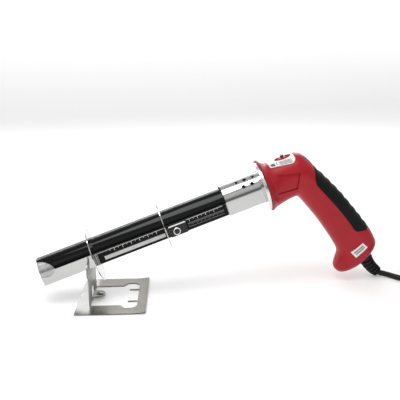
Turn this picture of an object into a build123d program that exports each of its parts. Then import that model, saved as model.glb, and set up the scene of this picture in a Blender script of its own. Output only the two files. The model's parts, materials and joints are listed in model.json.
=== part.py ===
from build123d import *
import math
import os

# Hot-air charcoal lighter lying on its folded sheet stand, millimetres.
# Row frame: +X from muzzle to handle, +Y away from the label side, +Z up.
# The origin is the middle of the stand's fold, on the surface that it rests on.

# ---- driving dimensions -------------------------------------------------
TILT = 18.85                # barrel rises towards the handle by this angle, degrees
AXIS_HEIGHT = 54.61         # barrel axis above the fold line
AXIS_SHIFT = -4.14          # barrel axis station zero, along X

SHEET = 0.8                 # nozzle sheet thickness
SHIELD_HALF = 16.2          # half width of the nozzle shield
SHIELD_TOP = 15.5           # shield crown above the axis
SHIELD_BOTTOM = -12.8       # open lower edge of the shield
SHIELD_CREASE = 1.5         # crease between round top and flat sides
MUZZLE = -55.0              # station of the muzzle
SLEEVE_FRONT = 167.8
SLEEVE_HALF = 18.5
SLEEVE_TOP = 19.3
SLEEVE_BOTTOM = -13.4
SLEEVE_CREASE = 2.0
COLLAR_FRONT = 213.5
COLLAR_THICK = 3.3
COLLAR_RADIUS = 29.0
LIP_FRONT = 217.8           # front edge of the red housing
LABEL_THICK = 0.25

FRONT_DISC_AT = 7.2
FRONT_DISC_RADIUS = 31.2
FRONT_DISC_CENTRE = -4.8
REAR_DISC_AT = 92.4
REAR_DISC_RADIUS = 27.6
DISC_THICK = 1.0
DISC_GAP = 0.45             # running gap round the shield

TUBE_RADIUS = 9.6           # hot-air tube, outside
FAN_RADIUS = 17.5
MOTOR_RADIUS = 13.8
SHAFT_RADIUS = 1.15
SHAFT_GAP = 0.05

STAND_YAW = -7.0            # stand stands slightly skew to the barrel, degrees
STAND_FRONT = -15.2         # plate edge in front of the fold
STAND_LENGTH = 78.3
STAND_HALF = 47.8
STAND_SHEET = 1.2
STEM_HALF = 26.4
HEAD_HALF = 33.4
UPRIGHT_TOP = 52.3
SLIT_AT = 15.8
SLIT_WIDTH = 1.7
SLIT_DEPTH = 11.3

CORD_RADIUS = 3.4

SCALE_FRONT = 12.0          # scale label starts here along the shield
CLAMP_FRONT = 96.6
CLAMP_BACK = 117.0
CLAMP_TALL = 13.4
CLAMP_HEIGHT = -5.6
CLAMP_PROUD = 3.0
CLAMP_SCREW_AT = 104.6
CLAMP_SCREW_HEIGHT = -6.6
TUBE_FRONT = 14.0
TUBE_BACK = 206.0

COS = math.cos(math.radians(TILT))
SIN = math.sin(math.radians(TILT))

os.makedirs("parts", exist_ok=True)


def finish(builder, name):
    """Label a finished sub-part and write it."""
    builder.part.label = name
    export_step(builder.part, f"parts/{name}.step")
    print(name, round(builder.part.volume, 1), len(builder.part.solids()))


def on_barrel(station, height=0.0, across=0.0):
    """Row-frame point at a station along the barrel and a height square to it."""
    x = AXIS_SHIFT + station * COS - height * SIN
    z = AXIS_HEIGHT + station * SIN + height * COS
    return Vector(x, across, z)


def cross_plane(station):
    """Plane square to the barrel: local x is row Y, local y is up from the axis."""
    return Plane(origin=on_barrel(station), x_dir=(0, 1, 0), z_dir=(COS, 0, SIN))


def side_plane(across=0.0):
    """Plane of the side view: local x is the station, local y the height."""
    return Plane(origin=on_barrel(0, 0, across), x_dir=(COS, 0, SIN), z_dir=(0, -1, 0))


def hood_face(half, top, bottom, crease):
    """Round top over two flat sides, closed along the bottom."""
    with BuildSketch() as hood:
        with BuildLine():
            Line((-half, bottom), (-half, crease))
            ThreePointArc((-half, crease), (0, top), (half, crease))
            Line((half, crease), (half, bottom))
            Line((half, bottom), (-half, bottom))
        make_face()
    return hood.sketch


# ---- nozzle -------------------------------------------------------------
def hood_sheet(front, back, half, top, bottom, crease):
    """Open-bottomed sheet channel between two stations."""
    with BuildPart() as channel:
        with BuildSketch(cross_plane(front)):
            add(hood_face(half, top, bottom, crease))
        extrude(amount=back - front)
        with BuildSketch(cross_plane(front - 1)):
            add(hood_face(half - SHEET, top - SHEET, bottom - 1, crease))
        extrude(amount=back - front + 2, mode=Mode.SUBTRACT)
    return channel.part


SHIELD_BACK = 205.0
with BuildPart() as nozzle_shield:
    add(hood_sheet(MUZZLE, SHIELD_BACK, SHIELD_HALF, SHIELD_TOP, SHIELD_BOTTOM, SHIELD_CREASE))
    # curved bite out of the near flank at the muzzle
    with BuildSketch(side_plane(-20)):
        with BuildLine():
            ThreePointArc((MUZZLE - 1, 14.2), (MUZZLE + 13, 9.3), (MUZZLE + 18, 2.4))
            ThreePointArc((MUZZLE + 18, 2.4), (MUZZLE + 14.4, -2.2), (MUZZLE + 8.4, -3.9))
            ThreePointArc((MUZZLE + 8.4, -3.9), (MUZZLE + 3.2, -3.0), (MUZZLE - 1, 0.2))
            Line((MUZZLE - 1, 0.2), (MUZZLE - 1, 14.2))
        make_face()
    extrude(amount=-18, mode=Mode.SUBTRACT)
finish(nozzle_shield, "nozzle_shield")

with BuildPart() as perforated_sleeve:
    add(hood_sheet(SLEEVE_FRONT, COLLAR_FRONT, SLEEVE_HALF, SLEEVE_TOP, SLEEVE_BOTTOM, SLEEVE_CREASE))
    # two staggered rows of air holes on each shoulder
    for angle, stations in ((38, (193.2, 203.4)), (66, (186.9, 197.1, 207.2))):
        for flank in (-1, 1):
            turn = math.radians(angle)
            middle = SLEEVE_TOP - SLEEVE_HALF
            for station in stations:
                hub = on_barrel(station, middle)
                out = Vector(-SIN * math.sin(turn), flank * math.cos(turn), COS * math.sin(turn))
                with BuildSketch(Plane(origin=hub + out * 14, z_dir=out)):
                    Circle(2.3)
                extrude(amount=8, mode=Mode.SUBTRACT)
finish(perforated_sleeve, "perforated_sleeve")


def spacer_frame(name, front, depth):
    """Hood-shaped packing between the shield and the sleeve."""
    with BuildPart() as spacer:
        with BuildSketch(cross_plane(front)):
            add(hood_face(SLEEVE_HALF - SHEET, SLEEVE_TOP - SHEET, SHIELD_BOTTOM, SLEEVE_CREASE))
            add(hood_face(SHIELD_HALF, SHIELD_TOP, SHIELD_BOTTOM - 1, SHIELD_CREASE), mode=Mode.SUBTRACT)
        extrude(amount=depth)
    finish(spacer, name)


spacer_frame("sleeve_packing_front", SLEEVE_FRONT + 3.0, 3.0)
spacer_frame("sleeve_packing_rear", 202.0 - 3.0 - 16.0, 3.0)


def guard_disc(name, front, radius, centre):
    """Thin round sheet with a hole that clears the shield."""
    with BuildPart() as disc:
        with BuildSketch(cross_plane(front)):
            with Locations((0, centre)):
                Circle(radius)
            add(hood_face(SHIELD_HALF + DISC_GAP, SHIELD_TOP + DISC_GAP,
                          SHIELD_BOTTOM - DISC_GAP, SHIELD_CREASE), mode=Mode.SUBTRACT)
        extrude(amount=DISC_THICK)
    finish(disc, name)


guard_disc("front_guard_disc", FRONT_DISC_AT, FRONT_DISC_RADIUS, FRONT_DISC_CENTRE)
guard_disc("rear_guard_disc", REAR_DISC_AT, REAR_DISC_RADIUS, 0.0)


with BuildPart() as scale_label:
    with BuildSketch(side_plane(-SHIELD_HALF)):
        with BuildLine():
            Polyline((SCALE_FRONT, SHIELD_BOTTOM + 0.4), (SLEEVE_FRONT - 0.6, SHIELD_BOTTOM + 0.4),
                     (SLEEVE_FRONT - 0.6, SHIELD_CREASE - 0.1), (SCALE_FRONT, SHIELD_CREASE - 0.1),
                     close=True)
        make_face()
    extrude(amount=LABEL_THICK)
finish(scale_label, "scale_label")

# clamp block of the sliding guard, on the label side
CLAMP_FACE = SHIELD_HALF + DISC_GAP
with BuildPart() as guard_clamp:
    with BuildSketch(side_plane(-CLAMP_FACE)):
        with Locations(((CLAMP_FRONT + CLAMP_BACK) / 2, CLAMP_HEIGHT)):
            RectangleRounded(CLAMP_BACK - CLAMP_FRONT, CLAMP_TALL, 0.8)
    extrude(amount=CLAMP_PROUD)
    with BuildSketch(side_plane(-CLAMP_FACE)):
        with Locations(((REAR_DISC_AT + DISC_THICK + CLAMP_FRONT) / 2, CLAMP_HEIGHT)):
            Rectangle(CLAMP_FRONT - REAR_DISC_AT - DISC_THICK + 1, CLAMP_TALL - 3)
    extrude(amount=1.2)
    with BuildSketch(side_plane(-CLAMP_FACE - 1)):
        with Locations((CLAMP_SCREW_AT, CLAMP_SCREW_HEIGHT)):
            Circle(1.6)
    extrude(amount=CLAMP_PROUD, mode=Mode.SUBTRACT)
    split(bisect_by=cross_plane(REAR_DISC_AT + DISC_THICK), keep=Keep.TOP)
finish(guard_clamp, "guard_clamp")

with BuildPart() as clamp_screw:
    with BuildSketch(side_plane(-CLAMP_FACE - CLAMP_PROUD - 0.1)):
        with Locations((CLAMP_SCREW_AT, CLAMP_SCREW_HEIGHT)):
            Circle(4.6)
    extrude(amount=2.0)
    chamfer(clamp_screw.faces().sort_by(Axis.Y)[0].edges(), 0.5)
    with BuildSketch(side_plane(-CLAMP_FACE - CLAMP_PROUD - 2.1)):
        with Locations((CLAMP_SCREW_AT, CLAMP_SCREW_HEIGHT)):
            Rectangle(6.4, 1.1, rotation=35)
    extrude(amount=-0.8, mode=Mode.SUBTRACT)
    with BuildSketch(side_plane(-CLAMP_FACE - 1.2)):
        with Locations((CLAMP_SCREW_AT, CLAMP_SCREW_HEIGHT)):
            Circle(1.55)
    extrude(amount=CLAMP_PROUD - 0.9)
finish(clamp_screw, "clamp_screw")


# ---- heater -------------------------------------------------------------
def ring(name, stations, outer, inner):
    """Round ring or tube on the barrel axis; inner zero makes a disc."""
    front, back = stations
    with BuildPart() as body:
        with BuildSketch(cross_plane(front)):
            Circle(outer)
            if inner:
                Circle(inner, mode=Mode.SUBTRACT)
        extrude(amount=back - front)
    finish(body, name)


ring("hot_air_tube", (TUBE_FRONT, TUBE_BACK), TUBE_RADIUS, TUBE_RADIUS - 0.6)
ring("mica_sleeve", (118.0, 202.0), 8.9, 8.4)

with BuildPart() as tube_spacers:
    for station in (30.0, 84.0, 140.0):
        with BuildSketch(cross_plane(station)):
            add(hood_face(SHIELD_HALF - SHEET, SHIELD_TOP - SHEET, SHIELD_BOTTOM + 2.5, SHIELD_CREASE))
            Circle(TUBE_RADIUS, mode=Mode.SUBTRACT)
        extrude(amount=1.0)
finish(tube_spacers, "tube_spacers")

with BuildPart() as heater_former:
    with BuildSketch(cross_plane(122)):
        Rectangle(14.6, 1.2)
        Rectangle(1.2, 14.6)
    extrude(amount=76)
finish(heater_former, "heater_former")

with BuildPart() as heating_coil:
    for turn in range(10):
        with Locations(cross_plane(126 + 7.5 * turn)):
            Torus(7.75, 0.4)
finish(heating_coil, "heating_coil")

with BuildPart() as heater_end_plates:
    for station in (118.0, 199.0):
        with BuildSketch(cross_plane(station)):
            Circle(8.3)
            with PolarLocations(5.0, 6, start_angle=30):
                Circle(1.7, mode=Mode.SUBTRACT)
        extrude(amount=3.0)
finish(heater_end_plates, "heater_end_plates")

with BuildPart() as thermal_fuse:
    with BuildSketch(cross_plane(150)):
        with Locations((3.2, 3.2)):
            Circle(1.6)
    extrude(amount=10)
finish(thermal_fuse, "thermal_fuse")

# ---- collar, fan and motor ----------------------------------------------
with BuildPart() as front_collar:
    with BuildSketch(cross_plane(COLLAR_FRONT)):
        Circle(COLLAR_RADIUS)
        Circle(17.0, mode=Mode.SUBTRACT)
    extrude(amount=COLLAR_THICK)
    with BuildSketch(cross_plane(COLLAR_FRONT)):
        Circle(21.6)
        Circle(20.2, mode=Mode.SUBTRACT)
    extrude(amount=10.5)
    fillet(front_collar.faces().filter_by(GeomType.PLANE).sort_by(Axis((0, 0, 0), (COS, 0, SIN)))[0]
           .outer_wire().edges(), 0.8)
finish(front_collar, "front_collar")

ring("heat_gasket", (COLLAR_FRONT + COLLAR_THICK, LIP_FRONT), 27.6, 21.7)

with BuildPart() as fan_shroud:
    with BuildSketch(side_plane()):
        with BuildLine():
            Polyline((TUBE_BACK, TUBE_RADIUS - 0.6), (208, TUBE_RADIUS - 0.6), (223, 18.2), (239, 18.2),
                     (239, 19.4), (222.4, 19.4), (207.4, TUBE_RADIUS + 0.6), (TUBE_BACK, TUBE_RADIUS + 0.6),
                     close=True)
        make_face()
    revolve(axis=Axis(on_barrel(0), (COS, 0, SIN)))
finish(fan_shroud, "fan_shroud")

with BuildPart() as fan_impeller:
    with BuildSketch(cross_plane(226)):
        Circle(6.0)
        Circle(SHAFT_RADIUS, mode=Mode.SUBTRACT)
    extrude(amount=9.0)
    for blade in range(7):
        with Locations(cross_plane(230.5) * Rot(0, 0, blade * 360 / 7) * Pos(11.2, 0, 0) * Rot(38, 0, 0)):
            Box(12.0, 1.1, 8.6)
finish(fan_impeller, "fan_impeller")

with BuildPart() as motor_shaft:
    with BuildSketch(cross_plane(224)):
        Circle(SHAFT_RADIUS)
    extrude(amount=45)
finish(motor_shaft, "motor_shaft")

with BuildPart() as motor_armature:
    with BuildSketch(cross_plane(247)):
        Circle(10.6)
        Circle(SHAFT_RADIUS, mode=Mode.SUBTRACT)
        with PolarLocations(9.2, 5):
            Rectangle(3.2, 2.0, mode=Mode.SUBTRACT)
    extrude(amount=13)
finish(motor_armature, "motor_armature")

with BuildPart() as motor_can:
    with BuildSketch(cross_plane(243)):
        Circle(MOTOR_RADIUS)
        Circle(SHAFT_RADIUS + SHAFT_GAP, mode=Mode.SUBTRACT)
    extrude(amount=22)
    with BuildSketch(cross_plane(244.5)):
        Circle(MOTOR_RADIUS - 1.0)
    extrude(amount=21, mode=Mode.SUBTRACT)
finish(motor_can, "motor_can")

with BuildPart() as motor_magnets:
    with BuildSketch(cross_plane(246)):
        Circle(MOTOR_RADIUS - 1.0)
        Circle(11.2, mode=Mode.SUBTRACT)
        Rectangle(30, 7, mode=Mode.SUBTRACT)
    extrude(amount=15)
finish(motor_magnets, "motor_magnets")

ring("motor_end_cap", (265.0, 268.0), MOTOR_RADIUS, SHAFT_RADIUS + SHAFT_GAP)

with BuildPart() as motor_mount:
    with BuildSketch(cross_plane(239)):
        Circle(19.4)
        Circle(17.4, mode=Mode.SUBTRACT)
        with PolarLocations(12.5, 3, start_angle=30):
            Rectangle(11.0, 4.0)
        Circle(9.0)
        Circle(3.0, mode=Mode.SUBTRACT)
        # room for the switch above the motor
        with Locations((0, 18.0)):
            Rectangle(12.0, 9.0, mode=Mode.SUBTRACT)
    extrude(amount=4.0)
finish(motor_mount, "motor_mount")

# ---- housing ------------------------------------------------------------
# Oval sections of the housing: belly point and back point in the side view
# (station, height), then the half width.
BARREL_SECTIONS = (
    ((217.8, -31.5), (217.8, 31.5), 31.5),
    ((221.0, -30.3), (221.0, 28.8), 28.5),
    ((226.5, -28.4), (226.5, 24.4), 25.2),
    ((235.0, -26.4), (235.0, 23.8), 23.8),
    ((246.0, -25.2), (246.0, 23.8), 23.5),
    ((258.0, -24.5), (258.0, 23.8), 23.0),
    ((267.5, -22.0), (267.5, 22.4), 21.0),
    ((274.0, -17.0), (274.0, 17.0), 16.5),
    ((278.5, -10.0), (278.5, 9.0), 10.0),
)
GRIP_SECTIONS = (
    ((246.0, -3.0), (277.5, 13.0), 19.0),
    ((249.0, -17.0), (283.8, 0.5), 19.8),
    ((253.8, -31.0), (290.5, -12.5), 19.4),
    ((261.3, -45.5), (299.8, -29.5), 18.4),
    ((267.6, -60.5), (308.4, -48.0), 17.8),
    ((273.4, -77.0), (316.0, -67.0), 17.5),
    ((278.2, -94.0), (323.0, -84.0), 17.5),
    ((281.3, -107.0), (328.4, -100.0), 17.8),
    ((280.5, -118.0), (331.0, -113.0), 18.0),
    ((273.5, -132.0), (326.0, -127.0), 16.0),
    ((280.0, -142.0), (303.0, -139.9), 9.0),
)

def oval_loft(sections):
    """Solid lofted through a row of oval sections."""
    with BuildPart() as form:
        for belly, back, half_width in sections:
            rise = math.hypot(back[0] - belly[0], back[1] - belly[1])
            up = ((back[0] - belly[0]) / rise, (back[1] - belly[1]) / rise)
            middle = on_barrel((belly[0] + back[0]) / 2, (belly[1] + back[1]) / 2)
            facing = (up[1] * COS + up[0] * SIN, 0, up[1] * SIN - up[0] * COS)
            with BuildSketch(Plane(origin=middle, x_dir=(0, 1, 0), z_dir=facing)):
                Ellipse(half_width, rise / 2)
        loft()
    return form.part


def side_prism(points, from_y, to_y):
    """Prism through a side-view outline, between two distances across."""
    with BuildPart() as prism:
        with BuildSketch(side_plane(to_y)):
            with BuildLine():
                Polyline(*points, close=True)
            make_face()
        extrude(amount=to_y - from_y)
    return prism.part


with BuildPart() as housing_form:
    add(oval_loft(BARREL_SECTIONS))
    add(oval_loft(GRIP_SECTIONS))

PAD_OUTLINE = (
    (281.0, 4.5), (277.7, -1.5), (274.6, -9.0), (274.2, -16.5), (277.9, -24.2), (284.0, -36.5),
    (291.0, -51.8), (297.2, -67.0), (302.2, -80.7), (304.0, -87.9), (307.0, -91.6), (311.2, -92.7),
    (320.7, -95.9), (345.0, -98.0), (345.0, -40.0), (300.0, 4.5),
)
GRILLE_OUTLINE = ((275.5, 17.0), (268.0, 13.0), (269.5, 0.5), (281.0, 3.5), (284.0, 8.0))
GRILLE_HALF = 11.0
GRIP_CAVITY = (
    (262.0, -18.0), (272.0, -9.0), (285.0, -30.0), (304.0, -62.0), (317.5, -92.0), (324.0, -112.0),
    (320.0, -124.0), (300.0, -129.0), (288.0, -124.0), (291.0, -112.0), (289.0, -93.0), (279.0, -62.0),
)
GRIP_CAVITY_HALF = 12.0
BARREL_BORE = 20.6
STICKER_OUTLINE = ((309.7, -108.2), (314.2, -116.1), (296.9, -123.7), (292.9, -114.9))
STICKER_DEPTH = 17.3
TOP_LABEL_FRONT = 229.5
TOP_LABEL_BACK = 262.0
TOP_LABEL_RADIUS = 24.6
TOP_LABEL_SPREAD = 38.0     # half angle that the label wraps over the crown, degrees
SWITCH_AT = 249.0
SWITCH_LONG = 20.0
SWITCH_WIDE = 10.5
ROCKER_PIVOT = 17.0         # height of the rocker's pivot above the axis
ROCKER_REACH = 8.3
ROCKER_WIDE = 7.0
BEZEL_TOP = 24.6

with BuildPart() as cavity:
    with BuildSketch(cross_plane(LIP_FRONT - 1)):
        Circle(28.6)
    with BuildSketch(cross_plane(225.0)):
        Circle(21.7)
    loft()
    with BuildSketch(cross_plane(224.0)):
        Circle(BARREL_BORE)
    extrude(amount=46.0)
    add(side_prism(GRIP_CAVITY, -GRIP_CAVITY_HALF, GRIP_CAVITY_HALF))

with BuildPart() as pad_region:
    add(side_prism(PAD_OUTLINE, -30, 30))

with BuildPart() as grille_region:
    add(side_prism(GRILLE_OUTLINE, -GRILLE_HALF, GRILLE_HALF))

# white patch wrapped over the crown
with BuildPart() as label_band:
    with BuildSketch(cross_plane(TOP_LABEL_FRONT)):
        with Locations((0, -0.6)):
            Circle(TOP_LABEL_RADIUS)
            Circle(TOP_LABEL_RADIUS - 0.5, mode=Mode.SUBTRACT)
        with BuildLine():
            Polyline((0, 0), (-30 * math.tan(math.radians(TOP_LABEL_SPREAD)), 30),
                     (30 * math.tan(math.radians(TOP_LABEL_SPREAD)), 30), close=True)
        make_face(mode=Mode.INTERSECT)
    extrude(amount=TOP_LABEL_BACK - TOP_LABEL_FRONT)

with BuildPart() as butt_sticker:
    add(side_prism(STICKER_OUTLINE, -STICKER_DEPTH - 0.8, -STICKER_DEPTH))
finish(butt_sticker, "butt_sticker")


def switch_oval(long, wide, bottom, top):
    """Upright oval block on the crown of the barrel."""
    with BuildPart() as oval:
        with BuildSketch(Plane(origin=on_barrel(SWITCH_AT, bottom), x_dir=(COS, 0, SIN),
                               z_dir=(-SIN, 0, COS))):
            Ellipse(long / 2, wide / 2)
        extrude(amount=top - bottom)
    return oval.part


BOOT_START = Vector(336.5, 0, 28.2)
BOOT_END = Vector(355.5, 0, 5.9)
BOOT_START_TURN = -65.0
BOOT_END_TURN = -34.0
BOOT_START_RADIUS = 8.4
BOOT_END_RADIUS = 6.2


def heading(turn):
    """Unit vector in the XZ plane at an angle above +X."""
    return Vector(math.cos(math.radians(turn)), 0, math.sin(math.radians(turn)))


def boot_plane(share):
    """Section plane along the bent boot, share 0 at the housing and 1 at its tip."""
    sweep = math.radians(BOOT_START_TURN - BOOT_END_TURN)
    chord = (BOOT_END - BOOT_START).length
    radius = chord / (2 * math.sin(abs(sweep) / 2))
    centre = BOOT_START + heading(BOOT_START_TURN + 90) * radius
    turn = BOOT_START_TURN + share * (BOOT_END_TURN - BOOT_START_TURN)
    return Plane(origin=centre - heading(turn + 90) * radius, x_dir=(0, 1, 0), z_dir=heading(turn))


with BuildPart() as boot_well:
    with BuildSketch(boot_plane(0).offset(-14)):
        Circle(BOOT_START_RADIUS + 0.1)
    extrude(amount=30)

# screws that join the two halves, sunk in wells on the left side
HOUSING_SCREWS = ((258.6, -30.5), (273.8, -62.5), (284.3, -95.0), (281.5, -133.0))
SCREW_HEAD_TOP = 8.0
SCREW_HEAD_BOTTOM = 6.0
SCREW_TIP = -8.0


def at_screws(radius, from_y, to_y):
    """Round bars at every housing screw, between two distances across."""
    with BuildPart() as bars:
        with BuildSketch(side_plane(to_y)):
            with Locations(*HOUSING_SCREWS):
                Circle(radius)
        extrude(amount=to_y - from_y)
    return bars.part


with BuildPart() as housing_screws:
    add(at_screws(2.6, SCREW_HEAD_BOTTOM, SCREW_HEAD_TOP))
    add(at_screws(1.4, SCREW_TIP, SCREW_HEAD_BOTTOM))
finish(housing_screws, "housing_screws")

AROUND_HANDLE = ((200.0, -200.0), (400.0, -200.0), (400.0, 80.0), (200.0, 80.0))
LEFT_SIDE = side_prism(AROUND_HANDLE, 0, 60)
RIGHT_SIDE = side_prism(AROUND_HANDLE, -60, 0)
SLIVER = 10.0               # crumbs left by the cuts are smaller than this, cubic millimetres

for name, pad_name, far_side in (("housing_left", "grip_pad_left", RIGHT_SIDE),
                                 ("housing_right", "grip_pad_right", LEFT_SIDE)):
    with BuildPart() as half_form:
        add(housing_form.part)
        add(far_side, mode=Mode.SUBTRACT)
        add(cavity.part, mode=Mode.SUBTRACT)
        add(grille_region.part, mode=Mode.SUBTRACT)
    with BuildPart() as half_cut:
        add(half_form.part)
        for region in (pad_region, label_band, butt_sticker, boot_well):
            add(region.part, mode=Mode.SUBTRACT)
        add(switch_oval(SWITCH_LONG, SWITCH_WIDE, 16, 40), mode=Mode.SUBTRACT)
        add(at_screws(2.7, SCREW_HEAD_BOTTOM, 40), mode=Mode.SUBTRACT)
        add(at_screws(1.45, SCREW_TIP - 0.5, SCREW_HEAD_BOTTOM), mode=Mode.SUBTRACT)
    with BuildPart() as half:
        add(half_cut.solids().filter_by(lambda piece: piece.volume > SLIVER))
    finish(half, name)
    with BuildPart() as pad:
        add(half_form.part)
        add(pad_region.part, mode=Mode.INTERSECT)
    finish(pad, pad_name)

with BuildPart() as rear_intake_grille:
    add(housing_form.part)
    add(grille_region.part, mode=Mode.INTERSECT)
    add(cavity.part, mode=Mode.SUBTRACT)
    middle = on_barrel(278.6, 8.0)
    outward = Vector(COS * 0.893 - SIN * 0.45, 0, SIN * 0.893 + COS * 0.45)
    with BuildSketch(Plane(origin=middle - outward * 15, x_dir=(0, 1, 0), z_dir=outward)):
        with GridLocations(0, 3.2, 1, 4):
            SlotOverall(16, 1.6)
    extrude(amount=40, mode=Mode.SUBTRACT)
finish(rear_intake_grille, "rear_intake_grille")

with BuildPart() as top_label:
    add(label_band.part)
    add(switch_oval(SWITCH_LONG, SWITCH_WIDE, 16, 40), mode=Mode.SUBTRACT)
finish(top_label, "top_label")

# ---- switch -------------------------------------------------------------
with BuildPart() as switch_bezel:
    add(switch_oval(SWITCH_LONG - 0.1, SWITCH_WIDE - 0.1, 21.0, BEZEL_TOP))
    with BuildSketch(Plane(origin=on_barrel(SWITCH_AT, 16), x_dir=(COS, 0, SIN), z_dir=(-SIN, 0, COS))):
        SlotOverall(2 * ROCKER_REACH + 0.8, ROCKER_WIDE + 0.8)
    extrude(amount=20, mode=Mode.SUBTRACT)
finish(switch_bezel, "switch_bezel")

with BuildPart() as switch_rocker:
    with BuildSketch(side_plane(-ROCKER_WIDE / 2)):
        with Locations((SWITCH_AT, ROCKER_PIVOT)):
            Circle(ROCKER_REACH)
        with Locations((SWITCH_AT, ROCKER_PIVOT + 15.7)):
            Rectangle(30, 16, mode=Mode.SUBTRACT)
        with Locations((SWITCH_AT, ROCKER_PIVOT + 1.5 - 10)):
            Rectangle(30, 20, mode=Mode.SUBTRACT)
    extrude(amount=-ROCKER_WIDE)
    with BuildSketch(Plane(origin=on_barrel(SWITCH_AT, 16), x_dir=(COS, 0, SIN), z_dir=(-SIN, 0, COS))):
        SlotOverall(2 * ROCKER_REACH, ROCKER_WIDE)
    extrude(amount=20, mode=Mode.INTERSECT)
    with BuildSketch(Plane(origin=on_barrel(SWITCH_AT, ROCKER_PIVOT + 7.5), x_dir=(COS, 0, SIN),
                           z_dir=(-SIN, 0, COS))):
        Ellipse(2.0, 2.6)
    extrude(amount=3.0)
finish(switch_rocker, "switch_rocker")

with BuildPart() as switch_body:
    with BuildSketch(Plane(origin=on_barrel(SWITCH_AT, 14.0), x_dir=(COS, 0, SIN), z_dir=(-SIN, 0, COS))):
        Rectangle(20.0, 9.0)
    extrude(amount=2.8)
finish(switch_body, "switch_body")

# ---- electrics in the grip ----------------------------------------------
BOARD_AT = 10.0             # far face of the rectifier board, across the grip
BOARD_THICK = 1.6
with BuildPart() as rectifier_board:
    with BuildSketch(side_plane(BOARD_AT)):
        with Locations((290.5, -58.0)):
            Rectangle(15.0, 26.0, rotation=24)
    extrude(amount=BOARD_THICK)
finish(rectifier_board, "rectifier_board")

with BuildPart() as board_components:
    with BuildSketch(side_plane(BOARD_AT - BOARD_THICK)):
        with Locations((288.0, -51.5)):
            Circle(3.6)
        with Locations((293.0, -60.0)):
            Rectangle(6.0, 4.0, rotation=24)
        with Locations((294.5, -66.5)):
            Rectangle(8.0, 3.2, rotation=24)
    extrude(amount=6.0)
finish(board_components, "board_components")

with BuildPart() as wiring_loom:
    with BuildLine():
        loom_route = FilletPolyline(on_barrel(308.0, -112.5), on_barrel(300.0, -90.0), on_barrel(287.0, -62.0),
                                    on_barrel(273.0, -28.0), on_barrel(262.0, -17.6), radius=8.0)
    with BuildSketch(Plane(origin=loom_route @ 0, z_dir=loom_route % 0)):
        Circle(1.6)
    sweep()
finish(wiring_loom, "wiring_loom")

with BuildPart() as cord_clamp:
    with BuildSketch(side_plane(GRIP_CAVITY_HALF)):
        with Locations((304.0, -121.0)):
            Rectangle(16.0, 4.0, rotation=27)
    extrude(amount=2 * GRIP_CAVITY_HALF - 4)
finish(cord_clamp, "cord_clamp")

# ---- cord boot, cord, coil and plug --------------------------------------
with BuildPart() as cord_boot:
    for step in range(5):
        share = step / 4
        with BuildSketch(boot_plane(share)):
            Circle(BOOT_START_RADIUS + share * (BOOT_END_RADIUS - BOOT_START_RADIUS))
    loft()
    with BuildSketch(boot_plane(0)):
        Circle(BOOT_START_RADIUS)
    extrude(amount=-7.0)
finish(cord_boot, "cord_boot")

CORD_LEVEL = CORD_RADIUS + 0.05
COIL_LIFT = 0.7
COIL_CENTRE = Vector(431.5, -19.5, 0)
COIL_OUTER_TURN = 42.6
COIL_INNER_TURN = 29.0
COIL_HEIGHT = 19.6
CORD_ROUTE = (
    (355.5, 0.0, 5.9), (357.9, 0.0, 4.4), (361.0, -0.6, 3.6), (365.0, -3.6, CORD_LEVEL),
    (369.6, -10.8, CORD_LEVEL), (377.6, -21.6, CORD_LEVEL), (387.6, -33.4, CORD_LEVEL),
    (398.7, -46.8, 4.1),
)
TAIL_ROUTE = ((431.5, -62.1, 16.4), (446.0, -62.3, 15.2), (459.0, -62.3, 11.6), (471.0, -62.3, 9.0),
              (484.0, -62.3, 8.8))


def cord_tube(name, route):
    """Plain round tube along straight runs joined by arcs as large as the runs allow."""
    points = [Vector(*point) for point in route]
    radii = []
    for before, here, after in zip(points, points[1:], points[2:]):
        turn = (here - before).get_angle(after - here)
        run = min((here - before).length, (after - here).length)
        radii.append(0.45 * run / math.tan(math.radians(turn / 2)))
    with BuildPart() as tube:
        with BuildLine():
            path = FilletPolyline(*points, radius=radii)
        with BuildSketch(Plane(origin=path @ 0, z_dir=path % 0)):
            Circle(CORD_RADIUS)
        sweep()
    section = math.pi * CORD_RADIUS ** 2
    print(name, "radii", [round(value, 1) for value in radii], "length", round(path.length, 1),
          "volume / section x length", round(tube.part.volume / section / path.length, 4))
    finish(tube, name)


cord_tube("mains_cord", CORD_ROUTE)
cord_tube("cord_tail", TAIL_ROUTE)

TIE_WIDE = 8.0
TIE_THICK = 0.6
TIE_BOW = 0.5               # inner turns bow inwards across the tie's width
with BuildPart() as coil_tie:
    with BuildSketch(Plane.XZ.offset(-COIL_CENTRE.Y + TIE_WIDE / 2)):
        with Locations((COIL_CENTRE.X + (COIL_OUTER_TURN + COIL_INNER_TURN) / 2 - TIE_BOW / 2,
                        COIL_LIFT + COIL_HEIGHT / 2)):
            tie_inside = (COIL_OUTER_TURN - COIL_INNER_TURN + 2 * CORD_RADIUS + 0.2 + TIE_BOW,
                          COIL_HEIGHT + 0.1)
            Rectangle(tie_inside[0] + 2 * TIE_THICK, tie_inside[1] + 2 * TIE_THICK)
            Rectangle(*tie_inside, mode=Mode.SUBTRACT)
    extrude(amount=-TIE_WIDE)
finish(coil_tie, "coil_tie")

with BuildPart() as cord_coil:
    with BuildSketch(Plane.XY.offset(COIL_LIFT)):
        with Locations((COIL_CENTRE.X, COIL_CENTRE.Y)):
            Circle(COIL_OUTER_TURN + CORD_RADIUS)
            Circle(COIL_INNER_TURN - CORD_RADIUS, mode=Mode.SUBTRACT)
    extrude(amount=COIL_HEIGHT)
    fillet(cord_coil.edges().filter_by(GeomType.CIRCLE), 3.0)
finish(cord_coil, "cord_coil")

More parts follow.
